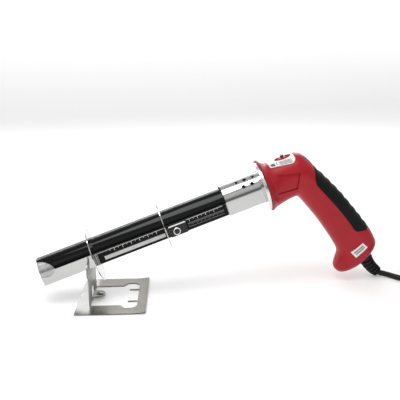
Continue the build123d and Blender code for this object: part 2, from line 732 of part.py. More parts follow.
# flat moulded two-pin plug lying beside the coil
PLUG_FRONT = 530.0
PLUG_BACK = 484.0
PLUG_AXIS = Vector(0, TAIL_ROUTE[-1][1], TAIL_ROUTE[-1][2])
PLUG_WIDE = 35.0
PLUG_TALL = 17.0
with BuildPart() as plug_body:
    with BuildSketch(Plane(origin=(PLUG_FRONT, PLUG_AXIS.Y, PLUG_AXIS.Z), x_dir=(0, 1, 0), z_dir=(-1, 0, 0))):
        RectangleRounded(PLUG_WIDE, PLUG_TALL, 7.0)
    with BuildSketch(Plane(origin=(PLUG_FRONT - 26, PLUG_AXIS.Y, PLUG_AXIS.Z), x_dir=(0, 1, 0), z_dir=(-1, 0, 0))):
        RectangleRounded(PLUG_WIDE - 4, PLUG_TALL - 1, 6.5)
    with BuildSketch(Plane(origin=(PLUG_BACK, PLUG_AXIS.Y, PLUG_AXIS.Z), x_dir=(0, 1, 0), z_dir=(-1, 0, 0))):
        RectangleRounded(11.0, 11.0, 5.4)
    loft(ruled=True)
finish(plug_body, "plug_body")

PIN_RADIUS = 2.4
PIN_LENGTH = 19.0
PIN_PITCH = 19.0
with BuildPart() as plug_pins:
    with BuildSketch(Plane(origin=(PLUG_FRONT, PLUG_AXIS.Y, PLUG_AXIS.Z), x_dir=(0, 1, 0), z_dir=(1, 0, 0))):
        with GridLocations(PIN_PITCH, 0, 2, 1):
            Circle(PIN_RADIUS)
    extrude(amount=PIN_LENGTH)
finish(plug_pins, "plug_pins")

# ---- stand --------------------------------------------------------------
# One stamped sheet: the upright is cut out of the plate and bent up on the fold.
STAND_PLANE = Plane(origin=(0, 0, 0), x_dir=(math.cos(math.radians(STAND_YAW)),
                                             math.sin(math.radians(STAND_YAW)), 0), z_dir=(0, 0, 1))
STAND_BACK = STAND_FRONT + STAND_LENGTH
NECK_LOW = 33.0
NECK_HIGH = 38.5
HEAD_CORNER = 8.0
TONGUE_WIDE = 18.0
TONGUE_LONG = 14.0
TONGUE_LEVEL = 4.0


def blank_face(side):
    """Half of the upright's blank: local x is away from the fold, local y is across."""
    with BuildSketch() as blank:
        with BuildLine():
            Polyline((0, 0), (0, side * STEM_HALF), (NECK_LOW, side * STEM_HALF), (NECK_HIGH, side * HEAD_HALF),
                     (UPRIGHT_TOP, side * HEAD_HALF), (UPRIGHT_TOP, 0), close=True)
        make_face()
        fillet(blank.vertices().sort_by(lambda corner: corner.X + abs(corner.Y))[-1], HEAD_CORNER)
        with Locations((UPRIGHT_TOP - SLIT_DEPTH / 2, side * SLIT_AT)):
            Rectangle(SLIT_DEPTH, SLIT_WIDTH, mode=Mode.SUBTRACT)
    return blank.sketch


with BuildPart() as stand:
    # plate with a gently curled far edge
    with BuildSketch(Plane(origin=STAND_PLANE.origin + STAND_PLANE.y_dir * STAND_HALF,
                           x_dir=STAND_PLANE.x_dir, z_dir=-STAND_PLANE.y_dir)):
        with BuildLine():
            lower = Line((STAND_FRONT, 0), (STAND_BACK - 16, 0))
            curl = JernArc(lower @ 1, lower % 1, 80.0, 11.5)
            edge = Line(curl @ 1, (curl @ 1) + Vector(-math.sin(math.radians(11.5)),
                                                      math.cos(math.radians(11.5)), 0) * STAND_SHEET)
            back = JernArc(edge @ 1, -(curl % 1), 80.0 - STAND_SHEET, -11.5)
            Line(back @ 1, (STAND_FRONT, STAND_SHEET))
            Line((STAND_FRONT, STAND_SHEET), (STAND_FRONT, 0))
        make_face()
    extrude(amount=2 * STAND_HALF)
    corners = stand.edges().filter_by(lambda edge: abs((edge % 0.5).Z) > 0.9)
    fillet(corners, 2.0)
    # window left by the upright, with the two fingers that its slits leave
    for side in (-1, 1):
        with BuildSketch(STAND_PLANE.offset(-1)):
            add(blank_face(side))
        extrude(amount=5, mode=Mode.SUBTRACT)
    # upright, with the opening that its tongue leaves
    for side in (-1, 1):
        with BuildSketch(Plane(origin=STAND_PLANE.origin - STAND_PLANE.x_dir * STAND_SHEET,
                               x_dir=(0, 0, 1), z_dir=STAND_PLANE.x_dir)):
            add(blank_face(side))
            with Locations((TONGUE_LEVEL + 6.0, 0)):
                Rectangle(10.0, TONGUE_WIDE, mode=Mode.SUBTRACT)
        extrude(amount=STAND_SHEET)
    # tongue bent out of the upright's window
    with BuildSketch(STAND_PLANE.offset(TONGUE_LEVEL - STAND_SHEET)):
        with Locations((TONGUE_LONG - TONGUE_WIDE, 0)):
            SlotOverall(2 * TONGUE_WIDE, TONGUE_WIDE)
        with Locations((-20 - STAND_SHEET, 0)):
            Rectangle(40, 40, mode=Mode.SUBTRACT)
    extrude(amount=STAND_SHEET)
finish(stand, "stand")
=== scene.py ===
import bpy
import bmesh
import json
import math
from mathutils import Matrix, Vector
from mathutils.bvhtree import BVHTree


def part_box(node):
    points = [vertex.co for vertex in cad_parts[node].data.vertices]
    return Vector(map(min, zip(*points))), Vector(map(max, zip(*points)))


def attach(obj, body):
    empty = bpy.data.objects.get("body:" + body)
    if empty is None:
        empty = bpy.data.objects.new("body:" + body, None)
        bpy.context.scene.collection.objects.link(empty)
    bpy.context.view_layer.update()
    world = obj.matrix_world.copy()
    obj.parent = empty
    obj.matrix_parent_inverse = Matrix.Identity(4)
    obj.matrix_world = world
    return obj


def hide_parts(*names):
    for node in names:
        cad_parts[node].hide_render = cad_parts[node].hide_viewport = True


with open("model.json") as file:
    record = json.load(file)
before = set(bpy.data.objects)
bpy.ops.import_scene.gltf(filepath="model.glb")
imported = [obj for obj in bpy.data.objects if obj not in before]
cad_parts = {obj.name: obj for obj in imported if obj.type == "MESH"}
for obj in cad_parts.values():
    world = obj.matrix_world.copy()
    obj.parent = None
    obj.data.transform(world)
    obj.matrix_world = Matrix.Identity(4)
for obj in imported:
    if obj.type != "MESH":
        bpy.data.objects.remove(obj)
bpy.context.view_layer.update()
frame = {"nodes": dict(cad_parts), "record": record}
nodes = frame["nodes"]
scene = bpy.context.scene

MM = 0.001
TILT = math.radians(18.85)      # the barrel rises towards the handle
COS = math.cos(TILT)
SIN = math.sin(TILT)
AXIS_SHIFT = -4.14              # station zero of the barrel axis, along X and above the surface
AXIS_HEIGHT = 54.61
YAW = math.radians(-7.0)        # the stand stands this much skew to the barrel


def on_barrel(station, height=0.0, across=0.0):
    """Point in metres from a station, a height above the barrel axis and a distance across, in mm."""
    along = AXIS_SHIFT + station * COS - height * SIN
    above = AXIS_HEIGHT + station * SIN + height * COS
    return Vector((along, across, above)) * MM


UP_BARREL = Vector((-SIN, 0, COS))
ALONG = Vector((COS, 0, SIN))


# ---- camera ---------------------------------------------------------------
CAMERA_AT = Vector((0.0262, -0.5973, 0.2772))
CAMERA_PITCH = math.radians(15.31)
CAMERA_YAW = math.radians(9.56)
CAMERA_ROLL = math.radians(0.21)


def camera():
    pitch, yaw, roll = CAMERA_PITCH, CAMERA_YAW, CAMERA_ROLL
    forward = Vector((math.cos(pitch) * math.sin(yaw), math.cos(pitch) * math.cos(yaw), -math.sin(pitch)))
    right = Vector((math.cos(yaw), -math.sin(yaw), 0))
    down = Vector((-math.sin(pitch) * math.sin(yaw), -math.sin(pitch) * math.cos(yaw), -math.cos(pitch)))
    image_x = math.cos(roll) * right + math.sin(roll) * down
    image_down = -math.sin(roll) * right + math.cos(roll) * down
    data = bpy.data.cameras.new("camera")
    data.lens = 48.83
    data.sensor_width = 36
    data.clip_start = 0.01
    cam = bpy.data.objects.new("camera", data)
    turn = Matrix((image_x, -image_down, -forward)).transposed().to_4x4()
    cam.matrix_world = Matrix.Translation(CAMERA_AT) @ turn
    scene.collection.objects.link(cam)
    scene.camera = cam


camera()


# ---- materials --------------------------------------------------------------
def material(name, colour, rough, metallic=0.0, tint=0.1, tint_scale=40.0, spread=0.06, grain=0.0,
             grain_scale=1500.0, coat=0.0, streak=None, specular=0.5):
    """Principled material with uneven colour and roughness and a fine bump, all from object coordinates."""
    mat = bpy.data.materials.new(name)
    mat.use_nodes = True
    tree = mat.node_tree
    bsdf = tree.nodes["Principled BSDF"]
    bsdf.inputs["Metallic"].default_value = metallic
    bsdf.inputs["Coat Weight"].default_value = coat
    bsdf.inputs["Coat Roughness"].default_value = 0.12
    bsdf.inputs["Specular IOR Level"].default_value = specular
    place = tree.nodes.new("ShaderNodeTexCoord")
    vector = place.outputs["Object"]
    if streak:
        mapping = tree.nodes.new("ShaderNodeMapping")
        mapping.inputs["Rotation"].default_value = (0, TILT, 0)
        mapping.inputs["Scale"].default_value = streak
        tree.links.new(vector, mapping.inputs["Vector"])
        vector = mapping.outputs["Vector"]

    def noise(scale, detail):
        node = tree.nodes.new("ShaderNodeTexNoise")
        node.inputs["Scale"].default_value = scale
        node.inputs["Detail"].default_value = detail
        tree.links.new(vector, node.inputs["Vector"])
        return node.outputs["Fac"]

    ramp = tree.nodes.new("ShaderNodeValToRGB")
    ramp.color_ramp.elements[0].position = 0.3
    ramp.color_ramp.elements[1].position = 0.7
    ramp.color_ramp.elements[0].color = [min(1, c * (1 - tint)) for c in colour] + [1]
    ramp.color_ramp.elements[1].color = [min(1, c * (1 + tint)) for c in colour] + [1]
    tree.links.new(noise(tint_scale, 4), ramp.inputs["Fac"])
    tree.links.new(ramp.outputs["Color"], bsdf.inputs["Base Color"])
    mapper = tree.nodes.new("ShaderNodeMapRange")
    mapper.inputs["From Min"].default_value = 0.3
    mapper.inputs["From Max"].default_value = 0.7
    mapper.inputs["To Min"].default_value = max(0.02, rough - spread)
    mapper.inputs["To Max"].default_value = rough + spread
    tree.links.new(noise(tint_scale * 3, 5), mapper.inputs["Value"])
    tree.links.new(mapper.outputs["Result"], bsdf.inputs["Roughness"])
    if grain:
        bump = tree.nodes.new("ShaderNodeBump")
        bump.inputs["Strength"].default_value = 1.0
        bump.inputs["Distance"].default_value = grain
        tree.links.new(noise(grain_scale, 3), bump.inputs["Height"])
        tree.links.new(bump.outputs["Normal"], bsdf.inputs["Normal"])
    return mat


def along_direction(mat, direction, origin, edge, width, below, above):
    """Blend the base colour between two colours across a plane, in object space."""
    tree = mat.node_tree
    bsdf = tree.nodes["Principled BSDF"]
    place = tree.nodes.new("ShaderNodeTexCoord")
    dot = tree.nodes.new("ShaderNodeVectorMath")
    dot.operation = "DOT_PRODUCT"
    dot.inputs[1].default_value = direction
    tree.links.new(place.outputs["Object"], dot.inputs[0])
    level = direction.dot(origin) + edge * MM
    mapper = tree.nodes.new("ShaderNodeMapRange")
    mapper.inputs["From Min"].default_value = level - width * MM / 2
    mapper.inputs["From Max"].default_value = level + width * MM / 2
    tree.links.new(dot.outputs["Value"], mapper.inputs["Value"])
    mixer = tree.nodes.new("ShaderNodeMix")
    mixer.data_type = "RGBA"
    mixer.blend_type = "MULTIPLY"
    mixer.inputs["Factor"].default_value = 1.0
    ramp = tree.nodes.new("ShaderNodeValToRGB")
    ramp.color_ramp.elements[0].color = list(below) + [1]
    ramp.color_ramp.elements[1].color = list(above) + [1]
    tree.links.new(mapper.outputs["Result"], ramp.inputs["Fac"])
    old = bsdf.inputs["Base Color"].links[0].from_socket
    tree.links.new(old, mixer.inputs["A"])
    tree.links.new(ramp.outputs["Color"], mixer.inputs["B"])
    tree.links.new(mixer.outputs["Result"], bsdf.inputs["Base Color"])
    return mat


RED = (0.4, 0.011, 0.021)
STEEL = (0.57, 0.57, 0.565)
mats = {
    "mirror_steel": material("mirror_steel", STEEL, 0.09, 1.0, tint=0.04, spread=0.04, grain=0.00001,
                             grain_scale=700, streak=(0.15, 1, 1)),
    "clamp_steel": material("clamp_steel", (0.22, 0.22, 0.21), 0.18, 1.0, tint=0.2, spread=0.06),
    "satin_steel": material("satin_steel", (0.8, 0.8, 0.79), 0.24, 1.0, tint=0.05, spread=0.06,
                            grain=0.00001, grain_scale=2500),
    "tube_steel": material("tube_steel", (0.42, 0.38, 0.33), 0.32, 1.0, tint=0.35, tint_scale=60),
    "stand_sheet": material("stand_sheet", (0.6, 0.59, 0.56), 0.36, 1.0, tint=0.05, tint_scale=22,
                            spread=0.05, grain=0.00002, grain_scale=1600, streak=(0.3, 1, 1)),
    "printed_film": material("printed_film", (0.86, 0.86, 0.86), 0.3, tint=0.03, coat=0.3),
    "red_plastic": material("red_plastic", RED, 0.34, tint=0.07, tint_scale=25, spread=0.05,
                            grain=0.00003, grain_scale=2200, coat=0.04, specular=0.25),
    "grip_rubber": material("grip_rubber", (0.004, 0.006, 0.0055), 0.55, tint=0.25, spread=0.08,
                            grain=0.00006, grain_scale=1800, specular=0.18),
    "black_plastic": material("black_plastic", (0.014, 0.014, 0.014), 0.42, tint=0.2, grain=0.00003),
    "black_rubber": material("black_rubber", (0.007, 0.007, 0.007), 0.5, tint=0.25, grain=0.00005,
                             specular=0.3),
    "cord_black": material("cord_black", (0.006, 0.006, 0.006), 0.42, tint=0.25, spread=0.08,
                           grain=0.00004, grain_scale=2600, specular=0.3),
    "plug_black": material("plug_black", (0.013, 0.013, 0.013), 0.4, tint=0.2, grain=0.00004,
                           grain_scale=2400),
    "nickel": material("nickel", (0.74, 0.71, 0.64), 0.2, 1.0, tint=0.06),
    "mica": material("mica", (0.55, 0.48, 0.36), 0.5, tint=0.3, tint_scale=90, grain=0.00006),
    "ceramic": material("ceramic", (0.8, 0.78, 0.72), 0.55, tint=0.06, grain=0.00004),
    "heater_wire": material("heater_wire", (0.35, 0.34, 0.33), 0.4, 1.0, tint=0.25),
    "motor_steel": material("motor_steel", (0.55, 0.55, 0.55), 0.3, 1.0, tint=0.08, streak=(0.2, 1, 1)),
    "copper": material("copper", (0.7, 0.3, 0.16), 0.3, 1.0, tint=0.2, tint_scale=300, grain=0.00008,
                       grain_scale=1400),
    "magnet": material("magnet", (0.05, 0.05, 0.055), 0.6, tint=0.2, grain=0.00004),
    "board_green": material("board_green", (0.03, 0.22, 0.08), 0.35, tint=0.2, coat=0.3),
}
# the nozzle's round top is coloured almost black, its flat flanks keep the full steel colour
shield_mat = along_direction(
    material("shield_steel", STEEL, 0.1, 1.0, tint=0.1, tint_scale=14, spread=0.05, grain=0.00001,
             grain_scale=500, streak=(0.12, 1, 1)),
    UP_BARREL, on_barrel(0), 1.7, 0.6, (1, 1, 1), (0.036, 0.038, 0.037))
black_film = material("black_film", (0.005, 0.005, 0.005), 0.4, tint=0.3, specular=0.15)
print_white = material("print_white", (0.75, 0.75, 0.73), 0.4, tint=0.06)
print_grey = material("print_grey", (0.22, 0.22, 0.24), 0.4, tint=0.2, tint_scale=500)
# painted highlight: the clamp's top edge is coloured bright, its face below is coloured dark
clamp_mat = along_direction(material("clamp_face", (0.7, 0.7, 0.68), 0.16, 1.0, tint=0.1), UP_BARREL,
                            on_barrel(0), -0.3, 0.3, (0.05, 0.05, 0.05), (1, 1, 1))
print_dark = material("print_dark", (0.09, 0.09, 0.12), 0.4, tint=0.3, tint_scale=400)
rocker_mat = along_direction(material("rocker_red", RED, 0.3, tint=0.07, grain=0.00003, coat=0.2),
                             UP_BARREL, on_barrel(0), 25.5, 0.3, (1, 1, 1), (0.04, 0.25, 0.25))

# painted reflection: the stand's sheet is coloured lighter before its fold and darker behind it, in place of
# the different reflection off the slightly bent part before the fold
along_direction(mats["stand_sheet"], Vector((math.cos(YAW), math.sin(YAW), 0)), Vector((0, 0, 0)), 2.0, 5.0,
                (0.52, 0.53, 0.54), (0.23, 0.227, 0.212))

slot_of = {piece["node"]: piece["material_slot"] for piece in frame["record"]["subparts"]}
special = {"nozzle_shield": shield_mat, "switch_rocker": rocker_mat,
           "switch_bezel": mats["red_plastic"], "guard_clamp": clamp_mat}
for name, node in nodes.items():
    node.data.materials.clear()
    node.data.materials.append(special.get(name, mats[slot_of[name]]))


# ---- mesh helpers -----------------------------------------------------------
def piece(name, verts, faces, mat, body, slot, smooth=35.0):
    mesh = bpy.data.meshes.new(name)
    mesh.from_pydata([tuple(v) for v in verts], [], faces)
    mesh.validate()
    obj = bpy.data.objects.new(name, mesh)
    scene.collection.objects.link(obj)
    shade(obj, smooth)
    if mat:
        mesh.materials.append(mat)
    if body:
        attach(obj, body)
    return obj


def shade(obj, angle):
    """Smooth shading with hard edges above an angle, and outward normals."""
    bm = bmesh.new()
    bm.from_mesh(obj.data)
    bmesh.ops.recalc_face_normals(bm, faces=bm.faces)
    for face in bm.faces:
        face.smooth = True
    limit = math.radians(angle)
    for edge in bm.edges:
        edge.smooth = len(edge.link_faces) == 2 and edge.calc_face_angle(0) < limit
    bm.to_mesh(obj.data)
    bm.free()


def rings(sections, closed_ends=True):
    """Vertices and faces of a skin over equal-sized rings of points."""
    verts = [point for section in sections for point in section]
    count = len(sections[0])
    faces = []
    for row in range(len(sections) - 1):
        for col in range(count):
            nxt = (col + 1) % count
            low, high = row * count, (row + 1) * count
            faces.append((low + col, low + nxt, high + nxt, high + col))
    if closed_ends:
        faces.append(tuple(reversed(range(count))))
        faces.append(tuple((len(sections) - 1) * count + col for col in range(count)))
    return verts, faces


def boxes(name, blocks, mat, body, slot):
    """One mesh of many thin blocks, each given as eight corners."""
    verts, faces = [], []
    for corners in blocks:
        base = len(verts)
        verts += corners
        faces += [tuple(base + i for i in quad) for quad in
                  ((0, 1, 2, 3), (7, 6, 5, 4), (0, 4, 5, 1), (1, 5, 6, 2), (2, 6, 7, 3), (3, 7, 4, 0))]
    return piece(name, verts, faces, mat, body, slot)


def cut(obj, cutter, operation):
    """Exact boolean, baked into the mesh."""
    mod = obj.modifiers.new("cut", "BOOLEAN")
    mod.operation = operation
    mod.solver = "EXACT"
    mod.object = cutter
    graph = bpy.context.evaluated_depsgraph_get()
    mesh = bpy.data.meshes.new_from_object(obj.evaluated_get(graph))
    obj.modifiers.clear()
    obj.data = mesh


def carve(obj, cutter, operation="DIFFERENCE"):
    """Cut and drop the cutter."""
    cut(obj, cutter, operation)
    drop(cutter)


def prism(points, low, high):
    """Solid between two distances across, from a side-view outline in mm."""
    rows = [[on_barrel(s, t, y) for s, t in points] for y in (low, high)]
    verts, faces = rings(rows)
    return piece("cutter", verts, faces, None, None, None)


def bar(centre, direction, radius, length, count=48, end_radius=None):
    """Solid round bar or cone from a point along a direction."""
    direction = direction.normalized()
    side = direction.orthogonal().normalized()
    other = direction.cross(side)
    rows = []
    for share, r in ((0, radius), (1, radius if end_radius is None else end_radius)):
        middle = centre + direction * length * share * MM
        rows.append([middle + (side * math.cos(a) + other * math.sin(a)) * r * MM
                     for a in (2 * math.pi * i / count for i in range(count))])
    verts, faces = rings(rows)
    return piece("cutter", verts, faces, None, None, None)


def drop(*objs):
    for obj in objs:
        bpy.data.objects.remove(obj, do_unlink=True)


def copy_of(obj, name):
    new = bpy.data.objects.new(name, obj.data.copy())
    scene.collection.objects.link(new)
    return new


# ---- cord ---------------------------------------------------------------------
CORD = 3.4                      # cord radius
COIL = Vector((431.5, -19.5, 0))
COIL_START = 220.0              # degrees round the coil where the first turn begins
COIL_TURNS = 7.139
COIL_BULGE = 1.008              # a curve through few points runs a little inside them
TURN_RADII = (42.6, 35.8, 29.0, 29.0, 35.8, 42.6, 42.6, 42.6)
TURN_LEVELS = (4.1, 4.1, 4.1, 10.6, 10.6, 10.6, 17.1, 17.1)
POINTS_PER_TURN = 18
PLUG_Y, PLUG_Z = -62.3, 8.8     # the plug's axis


def cord_points():
    points = [(355.5, 0.0, 5.9), (357.9, 0.0, 4.4), (361.0, -0.6, 3.6), (365.0, -3.6, 3.45),
              (369.6, -10.8, 3.45), (377.6, -21.6, 3.45), (387.6, -33.4, 3.45), (398.7, -46.8, 4.1)]
    steps = int(COIL_TURNS * POINTS_PER_TURN)
    for step in range(1, steps):
        turned = COIL_TURNS * step / steps
        whole = int(turned)
        part = turned - whole
        # each turn steps to the next one over its last quarter
        ease = max(0.0, (part - 0.75) / 0.25)
        ease = ease * ease * (3 - 2 * ease)
        radius = TURN_RADII[whole] + (TURN_RADII[min(whole + 1, 7)] - TURN_RADII[whole]) * ease
        level = TURN_LEVELS[whole] + (TURN_LEVELS[min(whole + 1, 7)] - TURN_LEVELS[whole]) * ease
        angle = math.radians(COIL_START + 360 * turned)
        points.append((COIL.x + radius * COIL_BULGE * math.cos(angle),
                       COIL.y + radius * COIL_BULGE * math.sin(angle), level))
    points += [(431.5, -62.1, 16.9), (446.0, -62.3, 15.2), (459.0, -62.3, 11.6), (471.0, -62.3, 9.0),
               (484.0, -62.3, 8.8)]
    return points


def cord_curve():
    curve = bpy.data.curves.new("mains_lead", "CURVE")
    curve.dimensions = "3D"
    curve.bevel_depth = CORD * MM
    curve.bevel_resolution = 6
    curve.resolution_u = 6
    curve.use_fill_caps = True
    spline = curve.splines.new("NURBS")
    points = cord_points()
    spline.points.add(len(points) - 1)
    for slot, point in zip(spline.points, points):
        slot.co = (point[0] * MM, point[1] * MM, point[2] * MM, 1)
    spline.order_u = 3
    spline.use_endpoint_u = True
    obj = bpy.data.objects.new("mains_lead", curve)
    scene.collection.objects.link(obj)
    curve.materials.append(mats["cord_black"])
    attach(obj, "tool")
    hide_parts("mains_cord", "cord_coil", "cord_tail")
    return obj


def round_box(width, tall, corner, count=40):
    """Outline of a rounded rectangle, as (across, up) pairs."""
    pts = []
    for i in range(count):
        a = 2 * math.pi * i / count
        ca, sa = math.cos(a), math.sin(a)
        x = math.copysign(abs(ca) ** (2 / corner), ca) * width / 2
        z = math.copysign(abs(sa) ** (2 / corner), sa) * tall / 2
        pts.append((x, z))
    return pts


def plug():
    """Moulded two-pin plug: strain-relief neck, waisted grip with ridges, flat face."""
    rows = []
    # station, width, height and squareness of each ring
    stations = [(484.2, 8.2, 8.2, 2), (486, 9.6, 9.6, 2)]
    for rib in range(4):
        at = 487 + rib * 3.2
        size = 10.2 + rib * 1.1
        stations += [(at, size + 1, size + 0.6, 2.2), (at + 1.7, size + 1.3, size + 0.8, 2.2),
                     (at + 1.9, size - 0.6, size - 0.8, 2.2), (at + 2.9, size - 0.4, size - 0.6, 2.2)]
    stations += [(500.5, 20, 13.2, 2.4), (503, 26, 14.6, 2.7), (507, 30.2, 15.4, 3), (511, 29.2, 15.2, 3)]
    for ridge in range(4):
        at = 512 + ridge * 2.6
        stations += [(at, 28.4, 14.6, 3), (at + 0.5, 29.2, 15.4, 3),
                     (at + 1.3, 29.2, 15.4, 3), (at + 1.8, 28.4, 14.6, 3)]
    stations += [(523.5, 31.5, 16, 3.4), (525.5, 34.2, 16.7, 3.6),
                 (528.6, 34.6, 16.8, 3.6), (529.7, 33.6, 16, 3.6)]
    for x, width, tall, corner in stations:
        outline = round_box(width, tall, corner, 48)
        rows.append([Vector((x, PLUG_Y + a, PLUG_Z + b)) * MM for a, b in outline])
    verts, faces = rings(rows)
    obj = piece("plug_moulding", verts, faces, mats["plug_black"], "tool", "plug_black", 40)
    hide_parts("plug_body")
    return obj


def tie():
    """Flat strap round the coil's section, with softened edges."""
    mid_x = COIL.x + 35.55
    mid_z = 10.5
    rows = []

    def loop(across, width, tall):
        rows.append([Vector((mid_x + a, COIL.y + across, mid_z + b)) * MM
                     for a, b in round_box(width, tall, 7.0, 64)])

    for across, soften in ((-4.0, 0.25), (-3.6, 0), (3.6, 0), (4.0, 0.25)):
        loop(across, 22.1 - soften, 20.7 - soften)
    for across, soften in ((4.0, 0.25), (3.6, 0), (-3.6, 0), (-4.0, 0.25)):
        loop(across, 21.2 + soften, 19.8 + soften)
    rows.append(rows[0])
    verts, faces = rings(rows, closed_ends=False)
    obj = piece("coil_strap", verts, faces, mats["black_plastic"], "tool", "black_plastic", 30)
    bm = bmesh.new()
    bm.from_mesh(obj.data)
    bmesh.ops.remove_doubles(bm, verts=bm.verts, dist=0.00001)
    bm.to_mesh(obj.data)
    bm.free()
    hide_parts("coil_tie")
    return obj


lead = cord_curve()
plug_piece = plug()
strap = tie()


# ---- handle -------------------------------------------------------------------
# belly point and back point in the side view (station, height), half width, squareness
SECTIONS = (
    ((217.8, -30.6), (217.8, 30.6), 30.6, 2.0), ((218.3, -31.3), (218.3, 31.3), 31.3, 2.0),
    ((219.6, -31.0), (219.6, 30.9), 31.0, 2.0), ((221.2, -30.2), (221.2, 28.9), 29.2, 2.0),
    ((223.5, -29.3), (223.5, 26.3), 27.0, 2.0), ((226.5, -28.4), (226.5, 24.6), 25.4, 2.05),
    ((230.5, -27.4), (230.8, 24.0), 24.4, 2.1), ((236.0, -26.2), (237.5, 23.9), 23.9, 2.15),
    ((241.5, -25.3), (246.5, 23.8), 23.6, 2.2), ((246.0, -24.9), (256.5, 23.9), 23.3, 2.2),
    ((249.3, -25.1), (265.0, 23.9), 22.9, 2.2), ((251.6, -26.0), (271.5, 20.3), 22.4, 2.2),
    ((253.4, -27.6), (276.8, 12.8), 21.6, 2.2), ((254.9, -30.0), (280.8, 5.0), 20.8, 2.2),
    ((256.9, -34.0), (285.0, -3.2), 20.2, 2.25), ((259.8, -40.8), (290.4, -12.4), 19.6, 2.25),
    ((264.0, -51.0), (296.4, -23.8), 18.8, 2.3), ((268.4, -62.4), (303.4, -37.4), 18.1, 2.3),
    ((272.6, -75.0), (310.0, -52.4), 17.7, 2.3), ((276.2, -86.6), (316.4, -68.0), 17.5, 2.3),
    ((279.2, -97.2), (322.4, -83.4), 17.5, 2.3), ((281.6, -107.0), (327.6, -98.4), 17.7, 2.3),
    ((282.2, -114.0), (330.4, -111.5), 18.0, 2.3), ((280.0, -119.5), (330.9, -118.5), 18.0, 2.3),
    ((275.4, -126.0), (327.4, -125.2), 17.2, 2.3), ((272.6, -131.5), (321.0, -130.8), 16.0, 2.3),
    ((273.0, -136.4), (313.5, -135.4), 14.0, 2.25), ((275.6, -140.4), (306.0, -138.9), 10.5, 2.2),
    ((280.5, -142.4), (299.5, -141.4), 6.0, 2.2),
)
PANEL = ((233.0, 12.5), (258.7, 5.3), (250.5, -12.0), (226.5, -8.9))
PAD = ((280.2, 6.8), (277.5, -1.5), (274.6, -9.0), (274.2, -16.5), (277.9, -24.2), (284.0, -36.5),
       (291.0, -51.8), (297.2, -67.0), (302.2, -80.7), (304.0, -87.9), (307.0, -91.6), (311.2, -92.7),
       (320.7, -95.9), (345.0, -98.0), (345.0, -40.0), (300.0, 6.8))
GRILLE = ((275.5, 21.0), (268.5, 17.0), (270.5, 8.8), (278.6, 10.0), (283.0, 13.0))
CAVITY = ((262.0, -18.0), (272.0, -9.0), (285.0, -30.0), (304.0, -62.0), (317.5, -92.0), (324.0, -112.0),
          (320.0, -124.0), (300.0, -129.0), (288.0, -124.0), (291.0, -112.0), (289.0, -93.0), (279.0, -62.0))
SCREWS = ((258.6, -30.5), (273.8, -62.5), (284.3, -95.0), (281.5, -133.0))
ROWS_PER_SECTION = 6
AROUND = 112
RECESS_DEPTH = 1.7
SWITCH_AT = 249.0
PAD_GAP = 0.3                   # the opening in the shells is this much larger than PAD
PAD_SHRINK = 0.12               # and the soft grip this much smaller
GRILLE_HALF = 11.0
BEYOND = 40.0                   # cutters reach this far past the handle's sides
VENT_SLOTS = 3
VENT_PITCH = 3.3
WAVE_LENGTH = 12.5              # finger waves on the back of the grip
WAVE_DEPTH = 0.42
BOOT_START = Vector((336.5, 0, 28.2))
BOOT_END = Vector((355.5, 0, 5.9))
BOOT_TURN_START = math.radians(-65)
BOOT_TURN_END = math.radians(-34)


def heading(turn):
    """Direction in the side view at an angle above the horizontal."""
    return Vector((math.cos(turn), 0, math.sin(turn)))


def catmull(a, b, c, d, t):
    square = (2 * a - 5 * b + 4 * c - d) * t * t
    return 0.5 * (2 * b + (c - a) * t + square + (3 * b - a - 3 * c + d) * t ** 3)


def handle_form(name, ribbed, inset=0.0):
    """Whole solid handle from SECTIONS; the ribbed one carries the finger waves of the pads."""
    rows = []
    table = [(s[0][0], s[0][1], s[1][0], s[1][1], s[2], s[3]) for s in SECTIONS]
    for i in range(len(table) - 1):
        before, start, end = table[max(i - 1, 0)], table[i], table[i + 1]
        after = table[min(i + 2, len(table) - 1)]
        for step in range(ROWS_PER_SECTION):
            t = step / ROWS_PER_SECTION
            rows.append([catmull(*values, t) for values in zip(before, start, end, after)])
    rows.append(table[-1])
    sections = []
    for bs, bt, ks, kt, half, power in rows:
        mid_s, mid_t = (bs + ks) / 2, (bt + kt) / 2
        ring = []
        for col in range(AROUND):
            angle = 2 * math.pi * col / AROUND
            ca, sa = math.cos(angle), math.sin(angle)
            up = math.copysign(abs(ca) ** (2 / power), ca)
            out = math.copysign(abs(sa) ** (2 / power), sa)
            s = mid_s + (ks - bs) / 2 * up
            t = mid_t + (kt - bt) / 2 * up
            y = (half - inset) * out
            if ribbed:
                run = math.hypot(s - 280, t)
                wave = WAVE_DEPTH * math.cos(2 * math.pi * run / WAVE_LENGTH) - WAVE_DEPTH
                lift = max(0.0, up) ** 2
                rise = math.hypot(ks - bs, kt - bt)
                s += (ks - bs) / rise * wave * lift
                t += (kt - bt) / rise * wave * lift
            ring.append(on_barrel(s, t, y))
        sections.append(ring)
    verts, faces = rings(sections)
    return piece(name, verts, faces, None, None, None)


def hollow(obj):
    """Flared mouth, fan and motor bore with a tapered end, and the hollow of the grip."""
    for cutter in (bar(on_barrel(216.8), ALONG, 28.9, 8.2, 64, 21.7),
                   bar(on_barrel(224.0), ALONG, 20.6, 39.0, 64),
                   bar(on_barrel(262.9), ALONG, 20.5, 7.0, 64, 12.5),
                   prism(CAVITY, -12.0, 12.0)):
        carve(obj, cutter)


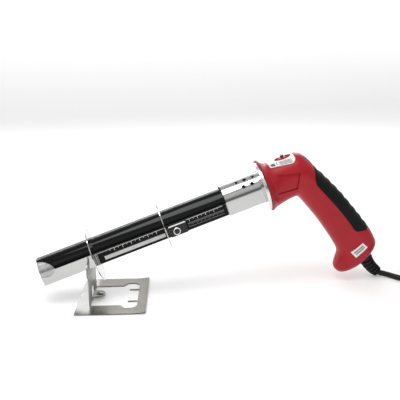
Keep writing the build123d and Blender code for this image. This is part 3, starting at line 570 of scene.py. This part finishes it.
def grown(points, amount):
    """Outline moved outwards along its corner directions."""
    area = sum(a[0] * b[1] - b[0] * a[1] for a, b in zip(points, points[1:] + points[:1]))
    sign = 1 if area > 0 else -1
    out = []
    for before, here, after in zip(points[-1:] + points[:-1], points, points[1:] + points[:1]):
        normals = []
        for a, b in ((before, here), (here, after)):
            length = math.hypot(b[0] - a[0], b[1] - a[1])
            normals.append(((b[1] - a[1]) / length * sign, -(b[0] - a[0]) / length * sign))
        nx, ny = normals[0][0] + normals[1][0], normals[0][1] + normals[1][1]
        scale = 2 / max(0.6, nx * nx + ny * ny)
        out.append((here[0] + nx * scale * amount, here[1] + ny * scale * amount))
    return tuple(out)


def oval(long, wide, low, high, count=56):
    """Solid oval column round the switch."""
    angles = [2 * math.pi * i / count for i in range(count)]
    rows = [[on_barrel(SWITCH_AT + long / 2 * math.cos(a), t, wide / 2 * math.sin(a)) for a in angles]
            for t in (low, high)]
    verts, faces = rings(rows)
    return piece("cutter", verts, faces, None, None, None)


def halves(obj, names, mat, node_names, gap):
    """Split at the centre plane with a hairline gap."""
    sides = ((gap, 60), (-60, -gap))
    for name, node, (low, high) in zip(names, node_names, sides):
        half = copy_of(obj, name)
        carve(half, prism(((200, -200), (400, -200), (400, 80), (200, 80)), low, high), "INTERSECT")
        shade(half, 32)
        half.data.materials.clear()
        half.data.materials.append(mat)
        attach(half, "tool")
        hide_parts(node)
    drop(obj)


def cut_vent_slots(obj):
    """Slots through the vent, square to the back of the head."""
    outward = (ALONG * 0.82 + UP_BARREL * 0.57).normalized()
    cross = outward.cross(Vector((0, 1, 0))).normalized()
    for index in range(VENT_SLOTS):
        offset = (index - (VENT_SLOTS - 1) / 2) * VENT_PITCH
        middle = on_barrel(275.2, 15.2) + cross * offset * MM - outward * 15 * MM
        ends = [[middle + outward * reach * MM + Vector((0, a, 0)) * MM + cross * b * MM
                 for a, b in round_box(15.5, 1.5, 5, 24)] for reach in (0, 40)]
        carve(obj, piece("cutter", *rings(ends), None, None, None))


form = handle_form("form", ribbed=False)
surface = BVHTree.FromPolygons([v.co for v in form.data.vertices],
                               [tuple(p.vertices) for p in form.data.polygons])
back = handle_form("back", ribbed=True)
recess = prism(PANEL, -BEYOND, BEYOND)
carve(recess, handle_form("floor_form", ribbed=False, inset=RECESS_DEPTH))
carve(form, recess)

hollow(form)
vent = copy_of(form, "intake_vent")
carve(vent, prism(grown(GRILLE, -0.15), 0.2 - GRILLE_HALF, GRILLE_HALF - 0.2), "INTERSECT")
carve(form, prism(grown(PAD, PAD_GAP), -BEYOND, BEYOND))
carve(form, prism(GRILLE, -GRILLE_HALF, GRILLE_HALF))
# well of the cord boot
carve(form, bar(BOOT_START * MM - heading(BOOT_TURN_START) * 14 * MM, heading(BOOT_TURN_START), 8.6, 30, 40))
carve(form, oval(20.4, 10.9, 16, BEYOND))
for station, height in SCREWS:
    carve(form, bar(on_barrel(station, height, 6.0), Vector((0, 1, 0)), 2.75, 30, 24))
halves(form, ("handle_left", "handle_right"), mats["red_plastic"],
       ("housing_left", "housing_right"), 0.09)

hollow(back)
carve(back, prism(grown(PAD, -PAD_SHRINK), -BEYOND, BEYOND), "INTERSECT")
carve(back, prism(GRILLE, -GRILLE_HALF, GRILLE_HALF))
halves(back, ("soft_grip_left", "soft_grip_right"), mats["grip_rubber"],
       ("grip_pad_left", "grip_pad_right"), 0.05)

cut_vent_slots(vent)
shade(vent, 30)
vent.data.materials.clear()
vent.data.materials.append(mats["black_plastic"])
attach(vent, "tool")
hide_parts("rear_intake_grille")


# ---- labels ---------------------------------------------------------------------
def on_surface(origin, direction, lift):
    hit, normal, _, _ = surface.ray_cast(origin, direction)
    if hit is None:
        return None
    if normal.dot(direction) > 0:
        normal = -normal
    return hit + normal * lift * MM, normal


def within(corners, u, v):
    """Point inside four corners, at two shares of the way across."""
    return tuple((1 - u) * (1 - v) * a + u * (1 - v) * b + u * v * c + (1 - u) * v * d
                 for a, b, c, d in zip(*corners))


def skin(name, outline, columns, rows, caster, lift, mat, slot, keep=lambda u, v: True, replaced=None,
         thick=0.12):
    """Thin film over the handle: a grid over four corners, cast on to the surface and thickened."""
    grid = {}
    for i in range(columns + 1):
        for j in range(rows + 1):
            u, v = i / columns, j / rows
            if not keep(u, v):
                continue
            hit = on_surface(*caster(within(outline, u, v)), lift)
            if hit:
                grid[i, j] = hit
    verts, faces, index = [], [], {}
    for key, (point, normal) in grid.items():
        index[key] = len(verts)
        verts += [point, point - normal * thick * MM]
    edges = {}
    for i in range(columns):
        for j in range(rows):
            keys = [(i, j), (i + 1, j), (i + 1, j + 1), (i, j + 1)]
            if all(k in index for k in keys):
                ids = [index[k] for k in keys]
                faces.append(tuple(ids))
                faces.append(tuple(k + 1 for k in reversed(ids)))
                for a, b in zip(ids, ids[1:] + ids[:1]):
                    if (b, a) in edges:
                        del edges[b, a]
                    else:
                        edges[a, b] = True
    for a, b in edges:
        faces.append((b, a, a + 1, b + 1))
    obj = piece(name, verts, faces, mat, "tool", slot, 50)
    if replaced:
        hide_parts(replaced)
    return obj


def from_above(p):
    """p is (station, angle over the crown in degrees): cast towards the barrel axis."""
    station, angle = p
    out = UP_BARREL * math.cos(math.radians(angle)) + Vector((0, 1, 0)) * math.sin(math.radians(angle))
    return on_barrel(station) + out * 60 * MM, -out


def from_side(p):
    return on_barrel(p[0], p[1], -60), Vector((0, 1, 0))


LABEL = ((229.6, -31.0), (261.0, -45.0), (261.0, 45.0), (229.6, 31.0))
CORNER_FROM = 255.0             # the label's rear corners are rounded behind this station
CORNER = 6.2


def label_keep(u, v):
    """Leave out the switch's oval and the two rounded corners."""
    station, angle = within(LABEL, u, v)
    y = 24 * math.sin(math.radians(angle))
    in_switch = ((station - SWITCH_AT) / 10.6) ** 2 + (y / 5.8) ** 2 < 1
    reach = ((station - CORNER_FROM) / CORNER) ** 2 + (max(0, abs(y) - 9.8) / CORNER) ** 2
    return not in_switch and not (station > CORNER_FROM and reach > 1)


skin("crown_label", LABEL, 72, 84, from_above, 0.16, mats["printed_film"], "printed_film", label_keep,
     "top_label")


def print_patch(name, cells, caster, mat, lift):
    """Plain printed bars, no lettering."""
    for number, corners in enumerate(cells):
        skin(f"{name}_{number}", corners, 8, 4, caster, lift, mat, "printed_film", thick=0.06)


def bars(start, end, step, low, high, lean=0.0):
    cells = []
    angle = low
    while angle < high - 0.01:
        top = angle + step * 0.55
        cells.append(((start, angle), (end, angle + lean), (end, top + lean), (start, top)))
        angle += step
    return cells


BLOCKS = [((231.4, -28.5), (236.2, -30.5), (236.2, -18.0), (231.4, -17.5))]
RULES = [((237.8, -30.0), (238.5, -30.5), (239.6, -17.0), (238.9, -17.0))]
LINES = bars(241.5, 256.0, 4.2, -34.0, -19.5, -5.5)


def mirrored(cells):
    """The same bars on the far side."""
    return [tuple((station, -angle) for station, angle in cell) for cell in cells]


print_patch("crown_block", BLOCKS + mirrored(BLOCKS), from_above, print_dark, 0.22)
print_patch("crown_lines", LINES + mirrored(LINES), from_above, print_grey, 0.22)
print_patch("crown_rule", RULES + mirrored(RULES), from_above, print_dark, 0.22)

STICKER = ((309.7, -108.2), (314.2, -116.1), (296.9, -123.7), (292.9, -114.9))
skin("butt_plate", STICKER, 20, 40, from_side, 0.16, mats["printed_film"], "printed_film",
     replaced="butt_sticker")


def sticker_cell(u0, v0, u1, v1):
    return tuple(within(STICKER, u, v) for u, v in ((u0, v0), (u1, v0), (u1, v1), (u0, v1)))


print_patch("butt_lines", [sticker_cell(0.24, 0.1, 0.44, 0.9), sticker_cell(0.54, 0.12, 0.74, 0.86)],
            from_side, print_grey, 0.22)


# ---- printed scale on the near flank ------------------------------------------------
def flank_block(s0, t0, s1, t1, y0=-16.47, y1=-16.56):
    corners = [(s0, t0), (s1, t0), (s1, t1), (s0, t1)]
    return [on_barrel(s, t, y0) for s, t in corners] + [on_barrel(s, t, y1) for s, t in corners]


film = boxes("scale_film", [flank_block(8.5, -12.4, 167.2, 1.4, -16.2, -16.46)], black_film, "tool",
             "printed_film")
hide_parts("scale_label")
white = [flank_block(9.2, 0.35, 92.0, 0.85), flank_block(9.2, -11.9, 9.9, 0.4),
         flank_block(11.0, -11.9, 11.4, 0.4), flank_block(118.5, 0.35, 162.5, 0.85)]
for tick in [31.6 + 10.05 * i for i in range(6)] + [121.6 + 9.95 * i for i in range(4)]:
    white.append(flank_block(tick, -2.6, tick + 0.5, 0.4))
for tick in [26.6 + 10.05 * i for i in range(6)] + [126.6 + 9.95 * i for i in range(4)]:
    white.append(flank_block(tick, -1.3, tick + 0.35, 0.4))
boxes("scale_ticks", white, print_white, "tool", "printed_film")
bar_silver = material("bar_silver", (0.6, 0.6, 0.59), 0.3, tint=0.12, tint_scale=60)
boxes("scale_bar", [flank_block(18.3, -9.6, 91.0, -5.2)], bar_silver, "tool", "printed_film")
fine = [flank_block(119.0, -4.4, 162.5, -4.0), flank_block(119.0, -9.0, 162.5, -8.6)]
for index in range(44):
    long = 3.2 if index % 5 == 0 else 1.8
    fine.append(flank_block(119.4 + index, -4.4 - long, 119.75 + index, -4.2))
boxes("scale_rule", fine, print_grey, "tool", "printed_film")


# ---- cord boot ------------------------------------------------------------------------
def boot():
    """Ribbed strain relief that curves from the well in the handle down to the cord."""
    sweep = BOOT_TURN_END - BOOT_TURN_START
    radius = (BOOT_END - BOOT_START).length / (2 * math.sin(sweep / 2))
    centre = BOOT_START + heading(BOOT_TURN_START + math.pi / 2) * radius
    rows = []

    def squared(value, square):
        return math.copysign(abs(value) ** (2 / square), value)

    def ring(share, r, square=2.0):
        turn = BOOT_TURN_START + share * sweep
        out = heading(turn + math.pi / 2)
        middle = centre - out * radius
        if share < 0:
            # inside the well it is straight
            middle = BOOT_START + heading(BOOT_TURN_START) * share * 29.5
            out = heading(BOOT_TURN_START + math.pi / 2)
        rows.append([(middle + out * r * squared(math.cos(a), square)
                      + Vector((0, 1, 0)) * r * squared(math.sin(a), square)) * MM
                     for a in (2 * math.pi * i / 48 for i in range(48))])

    ring(-0.2, 7.9)
    ring(-0.02, 8.3)
    for rib in range(5):
        a = 0.02 + rib * 0.172
        size = 8.35 - 1.6 * a
        ring(a, size - 0.2, 2.4)
        ring(a + 0.095, size + 0.1, 2.4)
        ring(a + 0.110, size - 2.1, 2.1)
        ring(a + 0.162, size - 2.1, 2.1)
    ring(0.885, 6.8)
    ring(0.97, 6.6)
    ring(1.0, 5.6)
    ring(1.0, 3.45)
    obj = piece("ribbed_boot", *rings(rows), mats["black_rubber"], "tool", "black_rubber", 35)
    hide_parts("cord_boot")
    return obj


boot()


# ---- clamp screw ----------------------------------------------------------------------
def clamp_screw():
    """Knurled thumb screw with a bright ring round a dark centre."""
    low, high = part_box("clamp_screw")
    centre = (Vector(low) + Vector(high)) / 2
    near, far = low[1], high[1]
    profile = ((far, 2.0), (far, 4.0), (near + (far - near) * 0.7, 4.5), (near + 0.0009, 4.5),
               (near + 0.0003, 4.25), (near, 3.9), (near, 3.3), (near + 0.0006, 3.0), (near + 0.0006, 1.6),
               (near + 0.0001, 1.3))
    rows = []
    for y, r in profile:
        ring = []
        for i in range(72):
            a = 2 * math.pi * i / 72
            knurl = 0.12 * math.cos(24 * a) if r > 4.2 else 0.0
            reach = (r + knurl) * MM
            ring.append(Vector((centre.x + reach * math.cos(a), y, centre.z + reach * math.sin(a))))
        rows.append(ring)
    obj = piece("thumb_screw", *rings(rows), mats["satin_steel"], "clamp_knob", "clamp_steel", 30)
    obj.data.materials.append(mats["black_plastic"])
    for face in obj.data.polygons:
        middle = face.center
        if math.hypot(middle.x - centre.x, middle.z - centre.z) < 3.2 * MM:
            face.material_index = 1
    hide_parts("clamp_screw")


clamp_screw()


# ---- muzzle liner ----------------------------------------------------------------------
def muzzle_liner():
    """Inner sheet of the nozzle, seen through the bite in the near flank."""
    def outline(half, top, bottom, crease=1.5):
        rise = top - crease
        radius = (half * half + rise * rise) / (2 * rise)
        spread = math.asin(half / radius)
        arc = [(radius * math.sin(a), top - radius + radius * math.cos(a))
               for a in (spread * (i / 24 - 1) for i in range(49))]
        return [(-half, bottom)] + arc + [(half, bottom)]

    outer, inner = outline(15.3, 14.6, -6.0), outline(14.8, 14.1, -6.0)
    loop = outer + inner[::-1]
    rows = [[on_barrel(station, t, y) for y, t in loop] for station in (-54.9, -33.0)]
    mat = material("liner_steel", (0.5, 0.49, 0.49), 0.3, 1.0, tint=0.15, tint_scale=60, spread=0.08)
    piece("muzzle_liner", *rings(rows), mat, "tool", "mirror_steel")


muzzle_liner()


# ---- stand dimple -----------------------------------------------------------------------
def dimple():
    """Pressed dome on the stand's tongue."""
    along = Vector((math.cos(YAW), math.sin(YAW), 0))
    across = Vector((-math.sin(YAW), math.cos(YAW), 0))
    middle = along * 8.0 * MM + Vector((0, 0, 0.0040))
    rows = []
    for share in range(7):
        a = share / 6 * math.pi / 2
        r, z = 4.6 * math.cos(a) + 0.05, 1.4 * math.sin(a)
        rows.append([middle + (along * math.cos(b) + across * math.sin(b)) * r * MM + Vector((0, 0, z * MM))
                     for b in (2 * math.pi * i / 36 for i in range(36))])
    piece("tongue_dimple", *rings(rows), mats["stand_sheet"], "stand", "stand_sheet", 50)


dimple()

for name in ("nozzle_shield", "perforated_sleeve", "front_collar", "front_guard_disc", "rear_guard_disc",
             "stand", "guard_clamp", "plug_pins", "housing_screws"):
    node = nodes[name]
    soften = node.modifiers.new("soft_edges", "BEVEL")
    soften.width = 0.0002
    soften.segments = 2
    soften.limit_method = "ANGLE"
    soften.angle_limit = math.radians(50)
    soften.harden_normals = False


# ---- floor, world and lights ----------------------------------------------------------
def floor():
    """White sheet that curves up behind the tool."""
    mat = bpy.data.materials.new("floor")
    mat.use_nodes = True
    bsdf = mat.node_tree.nodes["Principled BSDF"]
    bsdf.inputs["Base Color"].default_value = (0.82, 0.82, 0.82, 1)
    bsdf.inputs["Roughness"].default_value = 0.9
    bsdf.inputs["Specular IOR Level"].default_value = 0.1
    bsdf.inputs["Emission Color"].default_value = (1, 1, 1, 1)
    # the curved wall behind glows more than the floor
    where = mat.node_tree.nodes.new("ShaderNodeTexCoord")
    parts = mat.node_tree.nodes.new("ShaderNodeSeparateXYZ")
    glow = mat.node_tree.nodes.new("ShaderNodeMapRange")
    glow.inputs["From Max"].default_value = 0.35
    glow.inputs["To Min"].default_value = 0.2
    glow.inputs["To Max"].default_value = 0.5
    mat.node_tree.links.new(where.outputs["Object"], parts.inputs["Vector"])
    mat.node_tree.links.new(parts.outputs["Z"], glow.inputs["Value"])
    mat.node_tree.links.new(glow.outputs["Result"], bsdf.inputs["Emission Strength"])
    bend_at, bend = 1.4, 0.9
    profile = [(-5.0, 0.0), (bend_at, 0.0)]
    profile += [(bend_at + bend * math.sin(a), bend - bend * math.cos(a))
                for a in (math.pi / 2 * i / 16 for i in range(1, 17))]
    profile.append((2.3, 3.5))
    verts = [(x, y, z) for y, z in profile for x in (-6.0, 6.0)]
    faces = [(2 * i, 2 * i + 1, 2 * i + 3, 2 * i + 2) for i in range(len(profile) - 1)]
    piece("floor", verts, faces, mat, None, None)


floor()

world = bpy.data.worlds.new("studio")
scene.world = world
world.use_nodes = True
tree = world.node_tree
background = tree.nodes["Background"]
place = tree.nodes.new("ShaderNodeTexCoord")
split = tree.nodes.new("ShaderNodeSeparateXYZ")
tree.links.new(place.outputs["Generated"], split.inputs["Vector"])
ramp = tree.nodes.new("ShaderNodeValToRGB")
# brightness of the room by height: white below, a dark band at the horizon, bright overhead
stops = ((0.0, 0.9), (0.49, 0.8), (0.51, 0.25), (0.60, 0.2), (0.68, 0.75), (0.80, 0.95), (0.9, 0.6),
         (1.0, 0.8))
elements = ramp.color_ramp.elements
while len(elements) < len(stops):
    elements.new(0.5)
for element, (position, level) in zip(elements, stops):
    element.position = position
    element.color = (level, level, level, 1)
height = tree.nodes.new("ShaderNodeMapRange")
height.inputs["From Min"].default_value = -1
height.inputs["From Max"].default_value = 1
tree.links.new(split.outputs["Z"], height.inputs["Value"])
tree.links.new(height.outputs["Result"], ramp.inputs["Fac"])
tree.links.new(ramp.outputs["Color"], background.inputs["Color"])
background.inputs["Strength"].default_value = 0.8


def softbox(name, place_at, target, size, power):
    data = bpy.data.lights.new(name, "AREA")
    data.shape = "RECTANGLE"
    data.size, data.size_y = size
    data.energy = power
    obj = bpy.data.objects.new(name, data)
    obj.location = place_at
    obj.rotation_euler = (Vector(target) - Vector(place_at)).to_track_quat("-Z", "Y").to_euler()
    scene.collection.objects.link(obj)


softbox("key", (-0.2, -0.3, 1.3), (0.15, 0, 0.08), (0.9, 0.6), 8.0)
softbox("fill", (-0.9, -0.9, 0.7), (0.2, 0, 0.08), (0.8, 0.8), 0.8)
softbox("rim", (0.1, 1.2, 0.78), (0.15, 0, 0.08), (1.8, 0.06), 7)
scene.view_settings.view_transform = "Standard"
